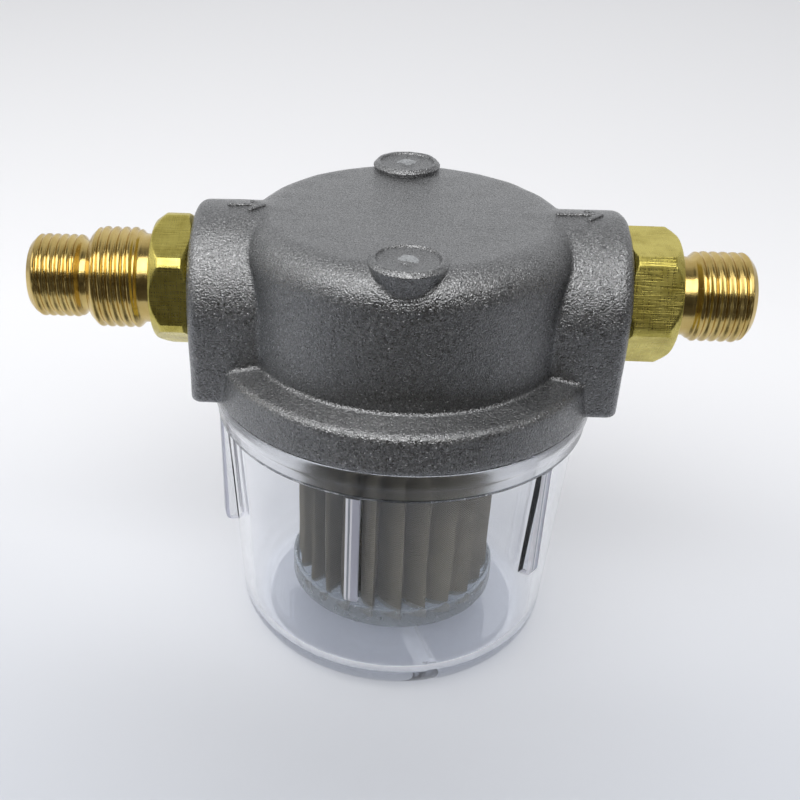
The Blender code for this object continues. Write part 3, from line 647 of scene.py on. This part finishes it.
gasket_low, gasket_high = (np.array(corner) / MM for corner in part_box("bowl_gasket"))
rubber = matt("black_nitrile_rubber", "#17181A", "#26272A", 0.55, 1800, 0.00005)
add_ring("gasket_ring", [(gasket_low[2], 27.85, 0), (gasket_low[2], 28.7, 0.4), (gasket_high[2], 28.7, 0.4),
                         (gasket_high[2], 27.0, 0.4), (gasket_low[2], 27.0, 0.4), (gasket_low[2], 27.85, 0)],
         "Z", [rubber], "head", "bowl_gasket")

# ================================================================================================
# Filter element: a strip of stainless-steel gauze folded into 24 pleats and bent into a ring, with its
# ends seamed together. The folds lean a little one way and none is quite like the next.
# ================================================================================================
PLEATS = 24
PLEAT_TIP_R, PLEAT_ROOT_R, PLEAT_LEAN = 16.8, 12.9, 0.075
GAUZE_THICK = 0.34
gauze_low, gauze_high = (np.array(corner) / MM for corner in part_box("filter_mesh"))


def pleated(share, height):
    """Plan point of the folded strip at a share of the way round and a height. The radius swings from root to
    tip and back once a pleat, partly straight and partly as a sine, and the tips lean ahead of the roots."""
    fold = share * PLEATS
    swing = np.abs((fold % 1) - 0.5) * 2
    bend = 0.5 * np.sin(np.clip((swing - 0.5) * 1.06, -0.5, 0.5) * math.pi)
    soft = 0.5 + 0.35 * bend + 0.65 * (swing - 0.5)
    radius = PLEAT_ROOT_R + (PLEAT_TIP_R - PLEAT_ROOT_R) * np.clip(soft, 0, 1)
    lean = PLEAT_LEAN * (2 * soft - 1)
    sway = 0.010 * np.sin(3.1 * fold + 0.09 * height) + 0.008 * np.sin(1.7 * fold + 0.13 * height + 1.0)
    angle = share * math.tau + lean + sway
    return np.stack([radius * np.cos(angle), radius * np.sin(angle)], axis=-1)


share = np.arange(PLEATS * 22) / (PLEATS * 22)
heights = np.linspace(gauze_low[2], gauze_high[2], 26)
spots = pleated(share[None, :], heights[:, None])
ahead = np.roll(spots, -1, axis=1) - np.roll(spots, 1, axis=1)
ahead /= np.linalg.norm(ahead, axis=-1, keepdims=True)
offset = GAUZE_THICK / 2 * np.stack([ahead[..., 1], -ahead[..., 0]], axis=-1)
height = np.broadcast_to(heights[:, None, None], (*spots.shape[:2], 1))
outer = np.concatenate([spots + offset, height], axis=-1)
inner = np.concatenate([spots - offset, height], axis=-1)
rows = np.concatenate([outer, inner[::-1]])
points, faces = wrapped(rows)
strip = np.cumsum(np.linalg.norm(np.diff(spots[0], axis=0, append=spots[0][:1]), axis=1))
uv = np.stack([np.broadcast_to(strip, rows.shape[:2]), rows[..., 2]], axis=-1).reshape(-1, 2)


def woven_steel():
    """Stainless-steel gauze of fine wire in plain weave. Each crossing stands up as a small bump, so light
    breaks up into a fine check and the cloth looks a drab warm grey. The low places between the crossings are
    painted darker, as painted shade."""
    material, tree, output = new_material("stainless_gauze")
    cloth = add_node(tree, "ShaderNodeUVMap", uv_map="cloth_mm").outputs[0]
    parts = add_node(tree, "ShaderNodeSeparateXYZ", {"Vector": cloth})
    wire_turn = math.tau / 0.42
    wave = []
    for part in ("X", "Y"):
        angle = add_node(tree, "ShaderNodeMath", {0: parts.outputs[part], 1: wire_turn}, operation="MULTIPLY")
        wave.append(add_node(tree, "ShaderNodeMath", {0: angle.outputs[0]}, operation="SINE").outputs[0])
    check = add_node(tree, "ShaderNodeMath", {0: wave[0], 1: wave[1]}, operation="MULTIPLY")
    place = add_node(tree, "ShaderNodeTexCoord").outputs["Object"]
    cloud = add_node(tree, "ShaderNodeTexNoise", {"Vector": place, "Scale": 160.0, "Detail": 4.0})
    tone = add_node(tree, "ShaderNodeMix", {"Factor": cloud.outputs["Fac"], "A": linear("#77705F"),
                                            "B": linear("#948C7A")}, data_type="RGBA")
    # Painted shade: the colour darkens where the weave is low, between the wire crossings.
    hollow = add_node(tree, "ShaderNodeMapRange", {"Value": check.outputs[0], "From Min": -0.9,
                                                   "From Max": 0.2, "To Min": 0.35, "To Max": 1.0})
    colour = add_node(tree, "ShaderNodeMix",
                      {"Factor": 1.0, "A": tone.outputs["Result"], "B": hollow.outputs[0]},
                      data_type="RGBA", blend_type="MULTIPLY")
    bump = add_node(tree, "ShaderNodeBump", {"Height": check.outputs[0], "Strength": 1.0,
                                             "Distance": 0.00007})
    shader = add_node(tree, "ShaderNodeBsdfPrincipled",
                      {"Base Color": colour.outputs["Result"], "Metallic": 0.85, "Roughness": 0.40,
                       "Normal": bump.outputs[0]})
    tree.links.new(shader.outputs[0], output.inputs[0])
    return material


gauze = woven_steel()
element = add_piece("pleated_gauze", points, faces, [gauze], "cartridge", 50, uv=uv)
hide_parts("filter_mesh")
seam_steel = matt("folded_seam_steel", "#77756C", "#8E8B82", 0.4, 900, 0.00003)
frame["nodes"]["mesh_seam_strip"].material_slots[0].material = seam_steel
core_white = matt("white_core_plastic", "#C9CDD0", "#D6D9DC", 0.45, 700, 0.00003)
frame["nodes"]["core_tube"].material_slots[0].material = core_white

# ================================================================================================
# End caps: clear plastic dishes moulded as a pair. The gauze is potted into them with clear resin. The
# lower one is closed and stands on a foot, and the upper one carries a rubber grommet in its middle.
# ================================================================================================
cap_low, cap_high = (np.array(corner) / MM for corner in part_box("bottom_cap"))
top_low, top_high = (np.array(corner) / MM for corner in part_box("top_cap"))


def clear_plastic(name, tint, rough, ior, scratch, clearness=1.0):
    """Clear moulded plastic: slightly tinted and almost smooth, with the faint ripple of its mould and fine
    scuffs. Lamps reach what is behind it a little dimmed."""
    material, tree, output = new_material(name)
    place = add_node(tree, "ShaderNodeTexCoord").outputs["Object"]
    ripple = add_node(tree, "ShaderNodeTexNoise", {"Vector": place, "Scale": 45.0, "Detail": 2.0})
    scuff = add_node(tree, "ShaderNodeTexNoise", {"Vector": place, "Scale": 900.0, "Detail": 3.0})
    dull = add_node(tree, "ShaderNodeMapRange", {"Value": scuff.outputs["Fac"], "From Min": 0.5,
                                                 "To Min": rough, "To Max": rough + scratch})
    bump = add_node(tree, "ShaderNodeBump", {"Height": ripple.outputs["Fac"], "Strength": 0.12,
                                             "Distance": 0.0004})
    shader = add_node(tree, "ShaderNodeBsdfPrincipled",
                      {"Base Color": linear(tint), "Roughness": dull.outputs[0], "IOR": ior,
                       "Transmission Weight": clearness, "Normal": bump.outputs[0]})
    passing = add_node(tree, "ShaderNodeBsdfTransparent", {"Color": linear("#F7F8FA")})
    ray = add_node(tree, "ShaderNodeLightPath")
    both = add_node(tree, "ShaderNodeMixShader", {0: ray.outputs["Is Shadow Ray"], 1: shader.outputs[0],
                                                  2: passing.outputs[0]})
    tree.links.new(both.outputs[0], output.inputs[0])
    return material


cap_clear = clear_plastic("clear_cap_plastic", "#D3DBE2", 0.22, 1.5, 0.2, 0.86)


def add_disc(name, corners, materials, body, node, step=0.4, angle_count=128):
    """A turned piece with a middle: its profile runs from pole to pole and is spun round Z."""
    profile = eased(corners, step)[1:-1]
    angles = np.arange(angle_count) * math.tau / angle_count
    points, faces = wrapped(spin(profile[:, 0], profile[:, 1], angles, "Z"), looped=False)
    disc = add_piece(name, points, faces, materials, body, 35)
    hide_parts(node)
    return disc


CAP_R = cap_high[0]
add_disc("lower_cap_moulded",
         [(cap_low[2], 0, 0), (cap_low[2], 4.5, 0.5), (cap_low[2] + 4.5, 4.5, 0.5),
          (cap_low[2] + 4.5, CAP_R, 0.8),
          (cap_high[2], CAP_R, 0.3), (cap_high[2], CAP_R - 0.8, 0.3), (cap_low[2] + 7.9, CAP_R - 0.9, 0.3),
          (cap_low[2] + 7.9, 11.0, 0.4), (cap_low[2] + 5.7, 10.8, 0.3), (cap_low[2] + 5.7, 0, 0)],
         [cap_clear], "cartridge", "bottom_cap")
add_ring("upper_cap_moulded",
         [(top_low[2], CAP_R - 0.4, 0), (top_low[2], CAP_R, 0.2), (top_high[2], CAP_R, 0.6),
          (top_high[2], 7.9, 0.2), (top_high[2] - 1.4, 7.9, 0.2), (top_high[2] - 1.4, CAP_R - 0.8, 0.3),
          (top_low[2], CAP_R - 0.8, 0.2), (top_low[2], CAP_R - 0.4, 0)],
         "Z", [cap_clear], "cartridge", "top_cap")
grommet_low, grommet_high = (np.array(corner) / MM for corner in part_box("cap_grommet"))
lip = grommet_high[2] - 0.9
add_ring("grommet_ring",
         [(grommet_low[2], 7.0, 0), (grommet_low[2], 8.6, 0.35), (lip - 1.9, 8.6, 0.1), (lip - 1.9, 7.6, 0.1),
          (lip, 7.6, 0.1), (lip, 9.2, 0.2), (grommet_high[2], 9.2, 0.4), (grommet_high[2], 5.3, 0.4),
          (grommet_low[2], 5.3, 0.4), (grommet_low[2], 7.0, 0)],
         "Z", [rubber], "cartridge", "cap_grommet")

# ================================================================================================
# Bowl: a cup injection-moulded in clear plastic, screwed up into the head by its neck. Six ribs on its wall
# run out flush with the collar and give the hand a grip. Underneath is the groove of the runner that fed the
# mould, and past its end a small hexagonal pip stands on the bowl's floor. The light and shade seen through
# the ribs and along the collar's lower edge are painted on as bands of colour.
# ================================================================================================
RIB_FIRST, RIB_COUNT, RIB_END_Z = -103.0, 6, 21.5
RIB_CIRCLE_R = 30.0
RUNNER_TURN = -73.0
RUNNER_FROM, RUNNER_TO, RUNNER_HALF_WIDTH, RUNNER_DEPTH = 6.0, 21.6, 1.3, 0.3
PIP_OUT, PIP_HALF_WIDTH, PIP_RISE = 22.9, 1.1, 1.2
COLLAR_LOW, COLLAR_R = HEAD_BOTTOM - 5.3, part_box("bowl")[1][0] / MM
NECK_TOP, NECK_R, NECK_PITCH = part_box("bowl")[1][2] / MM, 28.6, 1.5
WALL_FOOT_R, WALL_TOP_R, FLOOR_TOP = 27.2, 29.5, 2.2
LOWER_COLLAR_R = COLLAR_R - 0.4


def wall_radius(z):
    """Outside radius of the wall, which widens evenly from its foot to the underside of the collar."""
    return WALL_FOOT_R + (WALL_TOP_R - WALL_FOOT_R) * z / COLLAR_LOW


rib_marks = [RIB_END_Z - 0.1, RIB_END_Z, RIB_END_Z + 0.15, RIB_END_Z + 0.4, RIB_END_Z + 0.8, RIB_END_Z + 1.4]
corners = [(0.0, 0.0, 0), (0.0, WALL_FOOT_R, 4.6), *((z, wall_radius(z), 0) for z in rib_marks),
           (COLLAR_LOW, WALL_TOP_R, 0.25), (COLLAR_LOW, LOWER_COLLAR_R, 0.5),
           (COLLAR_LOW + 0.2, LOWER_COLLAR_R, 0), (COLLAR_LOW + 2.2, LOWER_COLLAR_R, 0.08),
           (COLLAR_LOW + 2.6, COLLAR_R, 0.08), (HEAD_BOTTOM - 0.12, COLLAR_R, 0.35),
           (HEAD_BOTTOM - 0.12, NECK_R, 0.2), (NECK_TOP, NECK_R, 0.4), (NECK_TOP, 27.0, 0.4),
           (FLOOR_TOP, 25.2, 4.0), (FLOOR_TOP, 0.0, 0)]
profile = eased(corners, 0.45)[1:-1]
rib_across = np.array([-1.25, -1.1, -1.0, -0.85, -0.6, -0.3, 0.0, 0.4, 0.85, 1.0, 1.1, 1.25])
rib_turns = RIB_FIRST + np.arange(RIB_COUNT) * 360 / RIB_COUNT
turns = [np.degrees(rib_across / RIB_CIRCLE_R) + turn for turn in rib_turns]
turns += [turn + np.linspace(4.0, 56.0, 40) for turn in rib_turns]
turns += [RUNNER_TURN + np.linspace(-12, 12, 49)]
turns = np.sort(np.concatenate(turns) % 360)
turns = turns[np.concatenate([[True], np.diff(turns) > 0.05])]
angles = np.radians(turns)
along, radius = np.broadcast_arrays(profile[:, :1], profile[:, 1:] + 0 * angles[None, :])
off_rib = np.min([np.abs((turns - turn + 180) % 360 - 180) for turn in rib_turns], axis=0)
rib_share = np.interp(np.radians(off_rib) * RIB_CIRCLE_R, [0.85, 1.0, 1.08, 1.25], [1.0, 0.96, 0.82, 0.0])
rise = np.interp(along, [RIB_END_Z, RIB_END_Z + 0.15, RIB_END_Z + 0.4, RIB_END_Z + 0.8, RIB_END_Z + 1.4],
                 [0.0, 0.6, 0.85, 0.96, 1.0])
row = np.arange(len(profile))[:, None]
on_wall = (row < np.argmax(profile[:, 1])) & (along > RIB_END_Z - 0.05) & (along < COLLAR_LOW + 0.5)
reach_out = np.maximum(LOWER_COLLAR_R - 0.02 - radius, 0)
radius = np.where(on_wall, radius + reach_out * rib_share * rise, radius)
neck = (along > HEAD_BOTTOM) & (radius > 28) & (row < len(profile) - 1)
neck_share = np.clip(np.minimum(along - HEAD_BOTTOM, NECK_TOP - 0.2 - along) / 0.4, 0, 1)
neck_wave = 0.3 * np.cos(math.tau * (along / NECK_PITCH - angles / math.tau))
radius = np.where(neck, radius + neck_share * neck_wave, radius)
from_runner = angles - math.radians(RUNNER_TURN)
x, y = radius * np.cos(from_runner), radius * np.sin(from_runner)
runner = np.maximum(np.abs(y) - RUNNER_HALF_WIDTH, np.maximum(RUNNER_FROM - x, x - RUNNER_TO))
off = np.abs(x - PIP_OUT)
pip = np.maximum(off, np.abs(y) * math.cos(math.pi / 6) + off / 2) - PIP_HALF_WIDTH
underside = (along < 0.05) & (row < len(profile) / 2)
along = np.where(underside, along + RUNNER_DEPTH * np.clip(0.5 - runner / 0.9, 0, 1), along)
inside_floor = (along < 7) & (row > len(profile) / 2)
along = np.where(inside_floor, along + PIP_RISE * np.clip(0.5 - pip / 0.35, 0, 1), along)
points, faces = wrapped(spin(along, radius, angles, "Z"), looped=False)
bowl_clear = clear_plastic("clear_bowl_plastic", "#F9FAFC", 0.015, 1.50, 0.03)
collar_frosted = clear_plastic("frosted_collar_plastic", "#F4F5F7", 0.24, 1.50, 0.06)
# Painted shade: a dark grey band round the collar's lower edge stands in for the shade and dark internal
# reflection where the wall meets the collar.
collar_painted_shade_line = clear_plastic("shaded_edge_plastic", "#5C6066", 0.12, 1.50, 0.05)
# Painted light and shade on each rib's face: pale strips are painted highlights, a dark strip is painted
# shade, and a lavender band is a painted reflection from inside the rib. None of them is a colour of the
# clear plastic.
rib_painted_highlight = clear_plastic("rib_painted_highlight_plastic", "#ECECF2", 0.40, 1.50, 0.1, 0.30)
rib_painted_reflection = clear_plastic("rib_painted_reflection_plastic", "#CBCCDC", 0.38, 1.50, 0.1, 0.50)
rib_painted_shade_strip = clear_plastic("shaded_rib_plastic", "#9CA1AD", 0.30, 1.50, 0.05, 0.50)
across = np.radians((turns[:, None] - rib_turns + 180) % 360 - 180) * RIB_CIRCLE_R
across = across[np.arange(len(turns)), np.abs(across).argmin(axis=1)] + 0.001
CLEAR, FROSTED, PAINTED_SHADE_LINE, PAINTED_HIGHLIGHT, PAINTED_REFLECTION, PAINTED_SHADE_STRIP = range(6)
finish = np.full(along.shape, CLEAR)
finish[(row < np.argmax(profile[:, 1]) + 40) & (along > COLLAR_LOW - 0.02) & (radius > 28.65)] = FROSTED
# The painted shade line round the foot of the collar.
finish[(row < np.argmax(profile[:, 1])) & (np.abs(along - COLLAR_LOW - 0.08) < 0.2) & (radius > 30)] = PAINTED_SHADE_LINE
# Bands of painted highlight, painted shade and painted reflection across the width of each rib's face.
on_face = on_wall & (along < COLLAR_LOW - 0.1)
finish[on_face & (across > -1.1) & (across < -0.6)] = PAINTED_HIGHLIGHT
finish[on_face & (across > -0.6) & (across < -0.3)] = PAINTED_SHADE_STRIP
finish[on_face & (across > -0.3) & (across < 0.0)] = PAINTED_HIGHLIGHT
finish[on_face & (across > 0.0) & (across < 1.1)] = PAINTED_REFLECTION
finish = np.concatenate([finish[:-1].ravel(), np.full(2 * len(angles), CLEAR)])
bowl = add_piece("bowl_moulded", points, faces,
                 [bowl_clear, collar_frosted, collar_painted_shade_line, rib_painted_highlight, rib_painted_reflection, rib_painted_shade_strip],
                 "bowl", 34, finish)
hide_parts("bowl")
